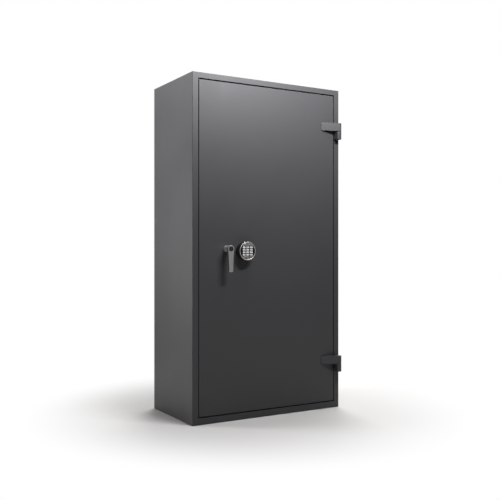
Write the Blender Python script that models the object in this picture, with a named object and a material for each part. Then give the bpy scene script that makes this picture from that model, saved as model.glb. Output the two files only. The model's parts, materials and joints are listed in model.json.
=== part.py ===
"""A freestanding gun safe: a folded steel cabinet with a hinged door, a lever handle that drives
a rack-and-pinion bolt work, an electronic keypad lock, a rifle rack and a shelf.

The origin is the middle of the base on the floor, +X to the right, +Y to the back, +Z up.
All lengths are in metres. Each moving group hangs from an empty on its joint's axis.
"""

import math

import bmesh
import bpy
from mathutils import Matrix, Vector

# Cabinet
WIDTH, DEPTH, HEIGHT = 0.770, 0.410, 1.500
SHEET = 0.003
FOLD = 0.0025  # outside radius of a folded edge
SIDE_RAIL, TOP_RAIL, BOTTOM_RAIL = 0.028, 0.024, 0.030  # front strips round the opening
LINER_SHEET = 0.002
REAR_SPACE = 0.028  # from the liner's back to the cabinet's back
GAP = 0.0003  # left between two pieces that touch
PLAY = 0.0005  # round a bolt in its hole
OVERCUT = 0.01  # how far a cutter runs past a face
SMALL_CHAMFER = 0.0005
RIGHT, FRONT, BACK = WIDTH / 2, -DEPTH / 2, DEPTH / 2
OPENING_X = RIGHT - SIDE_RAIL
OPENING_LOW, OPENING_TOP = BOTTOM_RAIL, HEIGHT - TOP_RAIL

# Door, closed
SIDE_CLEARANCE, TOP_CLEARANCE, BOTTOM_CLEARANCE = 0.003, 0.005, 0.004
DOOR_DEPTH = 0.040
DOOR_X = OPENING_X - SIDE_CLEARANCE
DOOR_LOW, DOOR_TOP = OPENING_LOW + BOTTOM_CLEARANCE, OPENING_TOP - TOP_CLEARANCE
DOOR_BACK = FRONT + DOOR_DEPTH
SEAL_THICKNESS, SEAL_WIDTH, SEAL_INSET = 0.0034, 0.012, 0.003
STOP_WIDTH = 0.022  # how far the stop flange reaches into the opening
STOP_FRONT = DOOR_BACK + SEAL_THICKNESS + 2 * GAP
STOP_BACK = STOP_FRONT + SHEET

# Hinges: a block on the right-hand rail, and above it a wedge-shaped arm on the door
HINGE_FORWARD = 0.017
BARREL_RADIUS, PIN_RADIUS, BORE_RADIUS = 0.014, 0.006, 0.0063
BLOCK_LEFT = 0.0142  # from the axis to the block's flat side
ARM_REACH, ARM_END = 0.089, 0.0025  # length left of the axis, and thickness at that end
ARM_HEEL = 0.005  # from the axis to where the arm's back meets its barrel
ARM_HEIGHT, BLOCK_HEIGHT, BLOCK_CHAMFER = 0.0372, 0.0360, 0.003
HINGE_EDGE = 0.0008
WASHER, WASHER_RADIUS = 0.0012, 0.0125
PIN_TOP, PIN_FLOOR = 0.028, 0.006  # above the block's top, and its bore's floor above the base
PIN_FOOT = PIN_FLOOR + 0.001
HINGE_X, HINGE_Y = RIGHT - BARREL_RADIUS, FRONT - HINGE_FORWARD
BLOCK_TOPS = {"upper": 1.302, "lower": 0.208}

# Bolt work on the door's back
COVER_X, COVER_LOW, COVER_TOP, COVER_BACK = 0.327, 0.066, 1.446, -0.112
COVER_EDGE = 0.0015
BOLT_RADIUS, BOLT_CHAMFER, BOLT_Y = 0.011, 0.001, -0.138
BOLT_HEIGHTS = (0.250, 0.583, 0.917, 1.250)
DOG_HEIGHTS, DOG_X = (0.400, 1.100), (0.285, 0.345)
BOLT_PROUD, BOLT_SHORT = 0.001, 0.002  # of the cover drawn back, and of the plate's inner edge
GUIDE_FOOT, GUIDE_PLATE = 0.0025, 0.010  # the angle's left edge and upright, inside the cover
GUIDE_BACK, GUIDE_END = -0.120, 0.030  # and how far it runs past the end bolts
SPINDLE_X, SPINDLE_Z, SPINDLE_RADIUS = -0.222, 0.750, 0.006
SPINDLE_BACK = -0.130
MODULE, TEETH = 0.002, 15
PITCH_RADIUS = MODULE * TEETH / 2
PRESSURE = math.radians(20)
BACKLASH = 0.0001  # taken off each flank
CARRIAGE_Y = (-0.158, -0.150)
ROD_Y = (-0.147, -0.138)
PINION_Y = (-0.159, -0.137)
RACK_DEPTH = 0.008  # of a rack's bar behind its teeth
ADDENDUM, DEDENDUM = 0.8 * MODULE, 1.05 * MODULE  # of a rack's teeth
GEAR_ADDENDUM, GEAR_DEDENDUM = 0.9 * MODULE, 1.1 * MODULE
CARRIAGE_RACK, ROD_RACK = (-0.050, 0.0275), (-0.012, 0.036)  # the ends of each rack
PLATE_X, PLATE_END = (-0.285, -0.260), 0.018  # the carriage's upright plate
WEB_OVERLAP, WEB_REACH, WEB_DROP = 0.010, 0.015, 0.004  # the web that joins it to its rack
ROD_START = 0.005  # from the spindle's height to where a rod's bar starts
ROUND_LENGTH, ROUND_JOINT = 0.055, 0.010  # a rod's round end, and how much of it holds the bar
BUSH_RADIUS, BUSH_PROUD, COLLAR_RADIUS, CABLE_RADIUS = 0.0100, 0.002, 0.0135, 0.0025
CABLE_BORE, CABLE_START = 0.0033, 0.0025  # its end stands this far in front of the door

# Electronic lock: its case, and the bolt in it, drawn back
CASE_X, CASE_Y, CASE_Z = (-0.180, -0.095), (-0.160, -0.128), (0.700, 0.761)
LATCH_X, LATCH_Y, LATCH_Z = (-0.1935, -0.1300), (-0.1576, -0.1504), (0.7170, 0.7310)
LATCH_PLAY, LATCH_POCKET = 0.001, 0.006
LATCH_PIVOT = (-0.150, -0.154, 0.724)
CASE_EDGE = 0.002

# Keypad and lever
KEYPAD_X, KEYPAD_Z, KEYPAD_RADIUS, KEYPAD_DEPTH = -0.133, 0.740, 0.0415, 0.033
KEYPAD_RIM, KEYPAD_BASE = 0.0055, 0.003  # the silver rim's width, and the base's thickness
RIM_CHAMFER, INNER_CHAMFER = 0.0015, 0.0008
LEDGE, LEDGE_DEPTH, LEDGE_SLOPE = 0.0025, 0.0042, 0.0035  # what the face rests on
WALL_STEP, BASE_INSET = 0.0015, 0.002  # the wall is thinner behind the ledge
FACE_FRONT, FACE_REAR = -0.031, -0.028  # the black disc, from the door's face
KEY_FRONT, KEY_REAR = -0.0326, -0.0245
LAMP_RADIUS, LAMP_HEIGHT, LAMP_PROUD = 0.0015, 0.0285, 0.0008
KEY_WIDTH, KEY_HEIGHT = 0.0150, 0.0086
KEY_PITCH_X, KEY_PITCH_Z = 0.0179, 0.0108
KEY_CORNER, WINDOW_CORNER = 0.0015, 0.0018
KEY_NAMES = ("1", "2", "3", "4", "5", "6", "7", "8", "9", "star", "0", "hash")
LEVER_FRONT, LEVER_THICKNESS = 0.045, 0.011
LEVER_HUB, LEVER_LENGTH = 0.0152, 0.100
LEVER_TOP_HALF, LEVER_END_HALF = 0.0126, 0.0094
LEVER_SHOULDER = 0.022  # from the axis to where the blade's straight sides start
LEVER_EDGE, LEVER_CORNER = 0.0015, 0.002
LEVER_CAP, CAP_PROUD, CAP_DEPTH = 0.0108, 0.0015, 0.0012
SEAT_DEPTH = 0.0015  # of the recess for the cap
LEVER_SKIN = 0.004  # left in front of the spindle's bore
GROOVE_HALF_WIDTH, GROOVE_HALF_LENGTH, GROOVE_CORNER = 0.0035, 0.034, 0.0034
GROOVE_DEPTH, GROOVE_DROP = 0.0008, 0.008
BATTERY_HALF_WIDTH, BATTERY_HALF_HEIGHT, BATTERY_LIFT = 0.024, 0.013, 0.002
BATTERY_Y = (-0.0225, -0.0050)  # from the door's face

# Inside
SIDE_PLAY, RACK_PLAY = 0.003, 0.006  # beside the shelf and the mat, and beside the rack
SHELF_Z, SHELF_THICKNESS, SHELF_FRONT, SHELF_EDGE = 1.282, 0.016, -0.098, 0.0015
RACK_Z, RACK_HEIGHT, RACK_FRONT = 0.940, 0.024, 0.126
NOTCHES, NOTCH_PITCH, NOTCH_WIDTH, NOTCH_DEPTH = 7, 0.096, 0.044, 0.034
BRACKET_Y, BRACKET_LEG, BRACKET_SHEET = (-0.090, 0.160), 0.022, 0.002
MAT_THICKNESS, MAT_FRONT = 0.0055, -0.105


# --- helpers -----------------------------------------------------------------------------------


def clear_scene():
    for item in list(bpy.data.objects):
        bpy.data.objects.remove(item, do_unlink=True)


def spread(axis, u, v, w):
    """A point from its two places across an axis and its place along it."""
    return Vector({"X": (w, u, v), "Y": (u, w, v), "Z": (u, v, w)}[axis])


def object_of(name, bm, at):
    bmesh.ops.recalc_face_normals(bm, faces=bm.faces)
    mesh = bpy.data.meshes.new(name)
    bm.to_mesh(mesh)
    bm.free()
    piece = bpy.data.objects.new(name, mesh)
    piece.location = at
    bpy.context.scene.collection.objects.link(piece)
    return piece


def cuboid(name, low, high):
    low, high = Vector(low), Vector(high)
    bm = bmesh.new()
    bmesh.ops.create_cube(bm, size=1)
    bmesh.ops.scale(bm, vec=high - low, verts=bm.verts)
    return object_of(name, bm, (low + high) / 2)


def prism(name, outline, start, end, at=(0, 0, 0), axis="Z"):
    """The outline, across the axis, drawn out from start to end along it."""
    bm = bmesh.new()
    rings = [[bm.verts.new(spread(axis, u, v, w)) for u, v in outline] for w in (start, end)]
    bm.faces.new(rings[0])
    bm.faces.new(rings[1][::-1])
    for i in range(len(outline)):
        j = (i + 1) % len(outline)
        bm.faces.new((rings[0][i], rings[1][i], rings[1][j], rings[0][j]))
    return object_of(name, bm, at)


def turned(name, profile, at, axis, steps=32):
    """Turns (radius, height) points about the axis. A profile off the axis closes on itself."""
    bm = bmesh.new()
    rings = []
    for radius, height in profile:
        if radius == 0:
            rings.append([bm.verts.new(spread(axis, 0, 0, height))] * steps)
            continue
        angles = [math.tau * i / steps for i in range(steps)]
        rings.append(
            [
                bm.verts.new(spread(axis, radius * math.cos(a), radius * math.sin(a), height))
                for a in angles
            ]
        )
    pairs = list(zip(rings, rings[1:]))
    if profile[0][0] > 0:
        pairs.append((rings[-1], rings[0]))
    for first, second in pairs:
        for i in range(steps):
            j = (i + 1) % steps
            corners = dict.fromkeys((first[i], first[j], second[j], second[i]))
            bm.faces.new(list(corners))
    piece = object_of(name, bm, at)
    piece.data.shade_smooth()
    piece.data.set_sharp_from_angle(angle=math.radians(30))
    return piece


def rod(name, radius, start, end, at, axis, chamfer=0.0, steps=32):
    """A round bar from start to end along the axis, with both ends chamfered."""
    profile = [(0, start), (radius - chamfer, start)]
    if chamfer:
        profile += [(radius, start + chamfer), (radius, end - chamfer)]
    profile += [(radius - chamfer, end), (0, end)]
    return turned(name, profile, at, axis, steps)


def tube(name, inner, outer, start, end, at, axis, steps=32):
    profile = [(outer, start), (outer, end), (inner, end), (inner, start)]
    return turned(name, profile, at, axis, steps)


def combine(piece, operation, others):
    for other in others:
        other.hide_render = True
        other.display_type = "WIRE"
        step = piece.modifiers.new(other.name, "BOOLEAN")
        step.operation = operation
        step.solver = "EXACT"
        step.object = other
    return piece


def cut(piece, *cutters):
    return combine(piece, "DIFFERENCE", cutters)


def join(piece, *others):
    return combine(piece, "UNION", others)


def soften(piece, width, segments=2, angle=40):
    step = piece.modifiers.new("soften", "BEVEL")
    step.width = width
    step.segments = segments
    step.limit_method = "ANGLE"
    step.angle_limit = math.radians(angle)
    return piece


def arc(cx, cy, radius, start, end, steps):
    """Points on an arc, with its angles in degrees."""
    angles = [math.radians(start + (end - start) * i / steps) for i in range(steps + 1)]
    return [(cx + radius * math.cos(a), cy + radius * math.sin(a)) for a in angles]


def rounded_rectangle(half_x, half_y, radius, steps=3):
    points = []
    for sx, sy, start in ((1, 1, 0), (-1, 1, 90), (-1, -1, 180), (1, -1, 270)):
        cx, cy = sx * (half_x - radius), sy * (half_y - radius)
        points += arc(cx, cy, radius, start, start + 90, steps)
    return points


def material(name, colour, roughness, metallic=0.0):
    found = bpy.data.materials.get(name)
    if found:
        return found
    made = bpy.data.materials.new(name)
    made.use_nodes = True
    shader = made.node_tree.nodes["Principled BSDF"]
    shader.inputs["Base Color"].default_value = (*colour, 1)
    shader.inputs["Roughness"].default_value = roughness
    shader.inputs["Metallic"].default_value = metallic
    return made


def paint():
    return material("graphite_powder_coat", (0.10, 0.10, 0.105), 0.6)


def inner_paint():
    return material("grey_powder_coat", (0.30, 0.30, 0.30), 0.65)


def zinc():
    return material("zinc_plated_steel", (0.60, 0.60, 0.60), 0.35, 1.0)


def nickel():
    return material("satin_nickel", (0.50, 0.49, 0.47), 0.35, 1.0)


def black_plastic():
    return material("black_plastic", (0.02, 0.02, 0.02), 0.45)


def finish(piece, surface):
    piece.data.materials.append(surface)
    return piece


def body(name, at, pieces):
    """Hangs the pieces from an empty on their joint's axis, where they are."""
    pivot = bpy.data.objects.new(name, None)
    pivot.location = at
    bpy.context.scene.collection.objects.link(pivot)
    for piece in pieces:
        piece.parent = pivot
        piece.matrix_parent_inverse = Matrix.Translation(-Vector(at))


# --- cabinet -----------------------------------------------------------------------------------


def outer_shell():
    shell = soften(cuboid("outer_shell", (-RIGHT, FRONT, 0), (RIGHT, BACK, HEIGHT)), FOLD, 3)
    inside = cuboid(
        "shell_inside",
        (-RIGHT + SHEET, FRONT + SHEET, SHEET),
        (RIGHT - SHEET, BACK - SHEET, HEIGHT - SHEET),
    )
    mouth = cuboid(
        "shell_mouth",
        (-OPENING_X, FRONT - SHEET, OPENING_LOW),
        (OPENING_X, FRONT + 2 * SHEET, OPENING_TOP),
    )
    return finish(cut(shell, inside, mouth), paint())


def body_insulation():
    inset, back = SHEET + GAP, BACK - REAR_SPACE + GAP
    board = cuboid(
        "body_insulation",
        (-RIGHT + inset, STOP_BACK + 2 * GAP, inset),
        (RIGHT - inset, BACK - inset, HEIGHT - inset),
    )
    hollow = cuboid(
        "insulation_hollow",
        (-OPENING_X - GAP, FRONT, OPENING_LOW - GAP),
        (OPENING_X + GAP, back, OPENING_TOP + GAP),
    )
    return finish(cut(board, hollow), material("fire_board", (0.75, 0.73, 0.70), 0.9))


def door_frame():
    """The jamb behind the front rails, with the flange that the door's seal meets."""
    ring = cuboid(
        "door_frame",
        (-OPENING_X - SHEET, FRONT + SHEET + GAP, OPENING_LOW - SHEET),
        (OPENING_X + SHEET, STOP_BACK, OPENING_TOP + SHEET),
    )
    recess = cuboid(
        "frame_recess",
        (-OPENING_X, FRONT - SHEET, OPENING_LOW),
        (OPENING_X, STOP_FRONT, OPENING_TOP),
    )
    through = cuboid(
        "frame_through",
        (-OPENING_X + STOP_WIDTH, FRONT - SHEET, OPENING_LOW + STOP_WIDTH),
        (OPENING_X - STOP_WIDTH, 0, OPENING_TOP - STOP_WIDTH),
    )
    return finish(cut(ring, recess, through), paint())


def inner_liner():
    back = BACK - REAR_SPACE
    liner = cuboid(
        "inner_liner",
        (-OPENING_X, STOP_BACK + GAP, OPENING_LOW),
        (OPENING_X, back, OPENING_TOP),
    )
    hollow = cuboid(
        "liner_hollow",
        (-OPENING_X + LINER_SHEET, FRONT, OPENING_LOW + LINER_SHEET),
        (OPENING_X - LINER_SHEET, back - LINER_SHEET, OPENING_TOP - LINER_SHEET),
    )
    return finish(cut(liner, hollow), inner_paint())


def door_seal():
    front, back = STOP_FRONT - GAP - SEAL_THICKNESS, STOP_FRONT - GAP
    x, low, top = DOOR_X - SEAL_INSET, DOOR_LOW + SEAL_INSET, DOOR_TOP - SEAL_INSET
    strip = cuboid("door_seal", (-x, front, low), (x, back, top))
    middle = cuboid(
        "seal_middle",
        (-x + SEAL_WIDTH, front - SHEET, low + SEAL_WIDTH),
        (x - SEAL_WIDTH, back + SHEET, top - SEAL_WIDTH),
    )
    return finish(cut(strip, middle), material("black_rubber", (0.02, 0.02, 0.02), 0.8))


def hinge_block(side, top):
    """The fixed half: flat on its left, round on its right, with a bore for the pin."""
    rear, front = HINGE_FORWARD - GAP, -BARREL_RADIUS
    outline = [(-BLOCK_LEFT, rear), (-BLOCK_LEFT, front + BLOCK_CHAMFER)]
    outline += [(-BLOCK_LEFT + BLOCK_CHAMFER, front)]
    outline += arc(0, 0, BARREL_RADIUS, 270, 360, 8)
    outline += [(BARREL_RADIUS, rear)]
    at = (HINGE_X, HINGE_Y, top - BLOCK_HEIGHT)
    block = soften(prism(f"hinge_block_{side}", outline, 0, BLOCK_HEIGHT, at), HINGE_EDGE, 1)
    bore = rod(f"block_bore_{side}", BORE_RADIUS, PIN_FLOOR, BLOCK_HEIGHT + OVERCUT, at, "Z")
    return finish(cut(block, bore), paint())


def hinge_pin(side, top):
    at = (HINGE_X, HINGE_Y, top)
    foot = PIN_FOOT - BLOCK_HEIGHT
    pin = rod(f"hinge_pin_{side}", PIN_RADIUS, foot, PIN_TOP, at, "Z", HINGE_EDGE, 24)
    return finish(pin, zinc())


def hinge_washer(side, top):
    at = (HINGE_X, HINGE_Y, top)
    name = f"hinge_washer_{side}"
    ring = tube(name, BORE_RADIUS, WASHER_RADIUS, GAP, GAP + WASHER, at, "Z", 24)
    return finish(ring, black_plastic())


def shelf():
    side = OPENING_X - LINER_SHEET - SIDE_PLAY
    back = BACK - REAR_SPACE - LINER_SHEET - SIDE_PLAY
    top = SHELF_Z + SHELF_THICKNESS
    board = cuboid("shelf", (-side, SHELF_FRONT, SHELF_Z), (side, back, top))
    return finish(soften(board, SHELF_EDGE, 1), material("grey_felt", (0.16, 0.16, 0.17), 0.95))


def shelf_bracket(side):
    """An angle on the liner's side wall, under the shelf's end."""
    sign = {"left": -1, "right": 1}[side]
    wall = OPENING_X - LINER_SHEET - GAP
    leg, sheet = BRACKET_LEG, BRACKET_SHEET
    section = [(0, 0), (-leg, 0), (-leg, -sheet), (-sheet, -sheet), (-sheet, -leg), (0, -leg)]
    outline = [(sign * (wall + x), SHELF_Z - GAP + z) for x, z in section]
    return finish(prism(f"shelf_bracket_{side}", outline, *BRACKET_Y, axis="Y"), zinc())


def barrel_rack():
    """A rail across the back with a round-ended notch for each barrel."""
    side = OPENING_X - LINER_SHEET - RACK_PLAY
    back = BACK - REAR_SPACE - LINER_SHEET - GAP
    half = NOTCH_WIDTH / 2
    outline = [(side, back), (-side, back), (-side, RACK_FRONT)]
    for i in range(NOTCHES):
        x = (i - (NOTCHES - 1) / 2) * NOTCH_PITCH
        outline += [(x - half, RACK_FRONT)]
        outline += arc(x, RACK_FRONT + NOTCH_DEPTH - half, half, 180, 0, 8)
        outline += [(x + half, RACK_FRONT)]
    outline += [(side, RACK_FRONT)]
    rail = prism("barrel_rack", outline, RACK_Z, RACK_Z + RACK_HEIGHT)
    return finish(rail, material("black_foam", (0.03, 0.03, 0.03), 0.95))


def floor_mat():
    side = OPENING_X - LINER_SHEET - SIDE_PLAY
    back = BACK - REAR_SPACE - LINER_SHEET - SIDE_PLAY
    low = OPENING_LOW + LINER_SHEET + GAP
    mat = cuboid("floor_mat", (-side, MAT_FRONT, low), (side, back, low + MAT_THICKNESS))
    return finish(mat, material("grey_felt", (0.16, 0.16, 0.17), 0.95))


# --- door --------------------------------------------------------------------------------------


def door_bores(prefix):
    """Cutters for the spindle bush and the keypad cable, right through the door."""
    start, end = FRONT - OVERCUT, DOOR_BACK + OVERCUT
    bush_at, cable_at = (SPINDLE_X, 0, SPINDLE_Z), (KEYPAD_X, 0, KEYPAD_Z)
    return (
        rod(f"{prefix}_bush_bore", BUSH_RADIUS + GAP, start, end, bush_at, "Y"),
        rod(f"{prefix}_cable_bore", CABLE_BORE, start, end, cable_at, "Y", steps=16),
    )


def door_panel():
    """The front sheet with its four folded returns."""
    pan = cuboid("door_panel", (-DOOR_X, FRONT, DOOR_LOW), (DOOR_X, DOOR_BACK, DOOR_TOP))
    soften(pan, FOLD, 3)
    hollow = cuboid(
        "door_hollow",
        (-DOOR_X + SHEET, FRONT + SHEET, DOOR_LOW + SHEET),
        (DOOR_X - SHEET, 0, DOOR_TOP - SHEET),
    )
    return finish(cut(pan, hollow, *door_bores("panel")), paint())


def door_board(name, front, back, surface):
    inset = SHEET + GAP
    board = cuboid(
        name,
        (-DOOR_X + inset, front, DOOR_LOW + inset),
        (DOOR_X - inset, back, DOOR_TOP - inset),
    )
    return finish(cut(board, *door_bores(name)), surface)


def bolt_cover():
    """The tray over the bolt work, open towards the door, with a hole for each bolt."""
    front = DOOR_BACK + GAP
    low, top = COVER_LOW, COVER_TOP
    cover = cuboid("bolt_cover", (-COVER_X, front, low), (COVER_X, COVER_BACK, top))
    soften(cover, COVER_EDGE, 2)
    hollow = cuboid(
        "cover_hollow",
        (-COVER_X + LINER_SHEET, front - OVERCUT, low + LINER_SHEET),
        (COVER_X - LINER_SHEET, COVER_BACK - LINER_SHEET, top - LINER_SHEET),
    )

    def hole(name, wall, at, axis):
        return rod(name, BOLT_RADIUS + PLAY, wall - OVERCUT, wall + OVERCUT, at, axis)

    cutters = [
        hole(f"cover_hole_{i}", -COVER_X, (0, BOLT_Y, z), "X") for i, z in enumerate(BOLT_HEIGHTS)
    ]
    cutters += [
        hole(f"cover_dog_hole_{i}", COVER_X, (0, BOLT_Y, z), "X")
        for i, z in enumerate(DOG_HEIGHTS)
    ]
    cutters += [
        hole("cover_top_hole", top, (top_rod_x(), BOLT_Y, 0), "Z"),
        hole("cover_low_hole", low, (bottom_rod_x(), BOLT_Y, 0), "Z"),
    ]
    return finish(cut(cover, hollow, *cutters), inner_paint())


def hinge_arm(side, top):
    """The wedge on the door's face, ending in a barrel over the pin."""
    bottom = top + WASHER + 2 * GAP
    rear = HINGE_FORWARD - GAP
    outline = [(-ARM_HEEL, rear), (-ARM_REACH, rear), (-ARM_REACH, rear - ARM_END)]
    outline += arc(0, 0, BARREL_RADIUS, 262, 450, 14)
    at = (HINGE_X, HINGE_Y, bottom)
    arm = soften(prism(f"hinge_arm_{side}", outline, 0, ARM_HEIGHT, at), HINGE_EDGE, 2)
    bore = rod(f"arm_bore_{side}", BORE_RADIUS, -OVERCUT, PIN_TOP, at, "Z")
    return finish(cut(arm, bore), paint())


def dog_bolt(number, z):
    """A fixed bolt on the hinge side, which goes behind the stop flange as the door closes."""
    at = (0, BOLT_Y, z)
    bolt = rod(f"dog_bolt_{number}", BOLT_RADIUS, *DOG_X, at, "X", BOLT_CHAMFER)
    return finish(bolt, zinc())


def bolt_guide():
    """The angle on the door's back plate that carries the side bolts."""
    front = DOOR_BACK + 2 * GAP
    foot_left, plate_left = -COVER_X + GUIDE_FOOT, -COVER_X + GUIDE_PLATE
    outline = [
        (foot_left, front),
        (plate_left + SHEET, front),
        (plate_left + SHEET, GUIDE_BACK),
        (plate_left, GUIDE_BACK),
        (plate_left, front + SHEET),
        (foot_left, front + SHEET),
    ]
    low, high = BOLT_HEIGHTS[0] - GUIDE_END, BOLT_HEIGHTS[-1] + GUIDE_END
    guide = prism("bolt_guide", outline, low, high)
    start, end = plate_left - OVERCUT, plate_left + SHEET + OVERCUT
    holes = [
        rod(f"guide_hole_{i}", BOLT_RADIUS + PLAY, start, end, (0, BOLT_Y, z), "X")
        for i, z in enumerate(BOLT_HEIGHTS)
    ]
    return finish(cut(guide, *holes), zinc())


def lock_case():
    """The electronic lock's case, with a slot for its bolt."""
    case = soften(cuboid("lock_case", *zip(CASE_X, CASE_Y, CASE_Z)), CASE_EDGE, 2)
    slot = cuboid(
        "lock_slot",
        (CASE_X[0] - OVERCUT, LATCH_Y[0] - LATCH_PLAY, LATCH_Z[0] - LATCH_PLAY),
        (LATCH_X[1] + LATCH_POCKET, LATCH_Y[1] + LATCH_PLAY, LATCH_Z[1] + LATCH_PLAY),
    )
    return finish(cut(case, slot), zinc())


def lock_cable():
    """Held all the way, from behind the keypad's battery to the lock's case."""
    start, end = FRONT - CABLE_START, CASE_Y[0] - GAP
    at = (KEYPAD_X, 0, KEYPAD_Z)
    return finish(rod("lock_cable", CABLE_RADIUS, start, end, at, "Y", steps=12), black_plastic())


def handle_collar():
    """The neck that carries the lever clear of the door."""
    start, inner = FRONT - LEVER_FRONT + LEVER_THICKNESS + GAP, SPINDLE_RADIUS + 2 * GAP
    at = (SPINDLE_X, 0, SPINDLE_Z)
    neck = tube("handle_collar", inner, COLLAR_RADIUS, start, FRONT - GAP, at, "Y", 40)
    return finish(neck, nickel())


def spindle_bush():
    at = (SPINDLE_X, 0, SPINDLE_Z)
    end = DOOR_BACK + BUSH_PROUD
    bush = tube("spindle_bush", BORE_RADIUS, BUSH_RADIUS, FRONT + GAP, end, at, "Y", 32)
    return finish(bush, material("brass", (0.70, 0.55, 0.28), 0.35, 1.0))


def keypad_at():
    """The middle of the keypad on the door's face; its pieces are turned about -Y from here."""
    return (KEYPAD_X, FRONT, KEYPAD_Z)


def keypad_base():
    outer = KEYPAD_RADIUS - BASE_INSET
    base = tube("keypad_base", CABLE_BORE, outer, -KEYPAD_BASE, -GAP, keypad_at(), "Y", 48)
    return finish(base, black_plastic())


def keypad_housing():
    """The round case: a thick silver rim at the front, and a ledge that carries the face."""
    rim, rear = KEYPAD_RADIUS - KEYPAD_RIM, -KEYPAD_BASE - GAP
    ledge, ledge_front = rim - LEDGE, FACE_REAR + GAP
    ledge_rear, wall = ledge_front + LEDGE_DEPTH, rim + WALL_STEP
    profile = [
        (KEYPAD_RADIUS, rear),
        (KEYPAD_RADIUS, -KEYPAD_DEPTH + RIM_CHAMFER),
        (KEYPAD_RADIUS - RIM_CHAMFER, -KEYPAD_DEPTH),
        (rim + INNER_CHAMFER, -KEYPAD_DEPTH),
        (rim, -KEYPAD_DEPTH + INNER_CHAMFER),
        (rim, ledge_front),
        (ledge, ledge_front),
        (ledge, ledge_rear),
        (wall, ledge_rear + LEDGE_SLOPE),
        (wall, rear),
    ]
    return finish(turned("keypad_housing", profile, keypad_at(), "Y", 56), nickel())


def key_places():
    for index, name in enumerate(KEY_NAMES):
        row, column = divmod(index, 3)
        yield name, (column - 1) * KEY_PITCH_X, (1.5 - row) * KEY_PITCH_Z


def keypad_face():
    """The black disc with a window for each key, one for the lamp, behind the rim's front."""
    radius = KEYPAD_RADIUS - KEYPAD_RIM - GAP
    face = rod("keypad_face", radius, FACE_FRONT, FACE_REAR, keypad_at(), "Y", 0.0003, 48)
    through = (FACE_FRONT - OVERCUT, FACE_REAR + OVERCUT)
    windows = []
    for name, x, z in key_places():
        outline = rounded_rectangle(KEY_WIDTH / 2 + GAP, KEY_HEIGHT / 2 + GAP, WINDOW_CORNER)
        at = Vector(keypad_at()) + Vector((x, 0, z))
        windows.append(prism(f"key_window_{name}", outline, *through, at, "Y"))
    windows.append(rod("lamp_window", LAMP_RADIUS + GAP, *through, lamp_at(), "Y", steps=12))
    return finish(cut(face, *windows), black_plastic())


def lamp_at():
    return Vector(keypad_at()) + Vector((0, 0, LAMP_HEIGHT))


def status_led():
    front, rear = FACE_FRONT - LAMP_PROUD, FACE_REAR + LAMP_RADIUS
    lamp = rod("status_led", LAMP_RADIUS, front, rear, lamp_at(), "Y", SMALL_CHAMFER, 12)
    return finish(lamp, material("lamp_lens", (0.5, 0.05, 0.03), 0.2))


def battery():
    """A nine-volt block behind the keys, in front of the base."""
    x, z, half, rise = 0.0, BATTERY_LIFT, BATTERY_HALF_WIDTH, BATTERY_HALF_HEIGHT
    front, back = BATTERY_Y
    at = Vector(keypad_at())
    low, high = Vector((x - half, front, z - rise)), Vector((x + half, back, z + rise))
    block = soften(cuboid("battery", at + low, at + high), CASE_EDGE, 2)
    return finish(block, material("battery_wrap", (0.10, 0.12, 0.2), 0.4))


def key(name, x, z):
    outline = rounded_rectangle(KEY_WIDTH / 2, KEY_HEIGHT / 2, KEY_CORNER)
    at = Vector(keypad_at()) + Vector((x, 0, z))
    cap = prism(f"key_{name}", outline, KEY_FRONT, KEY_REAR, at, "Y")
    return finish(cap, material("key_silicone", (0.6, 0.6, 0.6), 0.55))


# --- handle and bolt work ----------------------------------------------------------------------


def lever():
    """A flat blade that hangs from a round hub, with a shallow groove down its face."""
    corner = LEVER_CORNER
    outline = arc(0, 0, LEVER_HUB, -20, 200, 22)
    outline += [(-LEVER_TOP_HALF, -LEVER_SHOULDER)]
    outline += arc(-LEVER_END_HALF + corner, -LEVER_LENGTH + corner, corner, 180, 270, 3)
    outline += arc(LEVER_END_HALF - corner, -LEVER_LENGTH + corner, corner, 270, 360, 3)
    outline += [(LEVER_TOP_HALF, -LEVER_SHOULDER)]
    front, rear = FRONT - LEVER_FRONT, FRONT - LEVER_FRONT + LEVER_THICKNESS
    at = (SPINDLE_X, 0, SPINDLE_Z)
    blade = soften(prism("lever", outline, front, rear, at, "Y"), LEVER_EDGE, 2, 60)
    start = front + LEVER_SKIN
    bore = rod("lever_bore", BORE_RADIUS, start, rear + OVERCUT, at, "Y", steps=24)
    start, end = front - OVERCUT, front + SEAT_DEPTH
    seat = rod("lever_seat", LEVER_CAP + GAP, start, end, at, "Y", steps=40)
    groove = prism(
        "lever_groove",
        rounded_rectangle(GROOVE_HALF_WIDTH, GROOVE_HALF_LENGTH, GROOVE_CORNER, 4),
        start,
        front + GROOVE_DEPTH,
        (SPINDLE_X, 0, SPINDLE_Z - LEVER_LENGTH / 2 - GROOVE_DROP),
        "Y",
    )
    return finish(cut(blade, bore, seat, groove), nickel())


def lever_cap():
    front, at = FRONT - LEVER_FRONT, (SPINDLE_X, 0, SPINDLE_Z)
    start, end = front - CAP_PROUD, front + CAP_DEPTH
    cap = rod("lever_cap", LEVER_CAP, start, end, at, "Y", SMALL_CHAMFER, 40)
    return finish(cap, black_plastic())


def spindle():
    front, at = FRONT - LEVER_FRONT + LEVER_SKIN + PLAY, (SPINDLE_X, 0, SPINDLE_Z)
    bar = rod("spindle", SPINDLE_RADIUS, front, SPINDLE_BACK, at, "Y", SMALL_CHAMFER, 24)
    return finish(bar, zinc())


def involute(radius):
    """How far a flank has turned, between the base circle and this radius."""
    reach = math.acos(min(1.0, PITCH_RADIUS * math.cos(PRESSURE) / radius))
    return math.tan(reach) - reach


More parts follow.
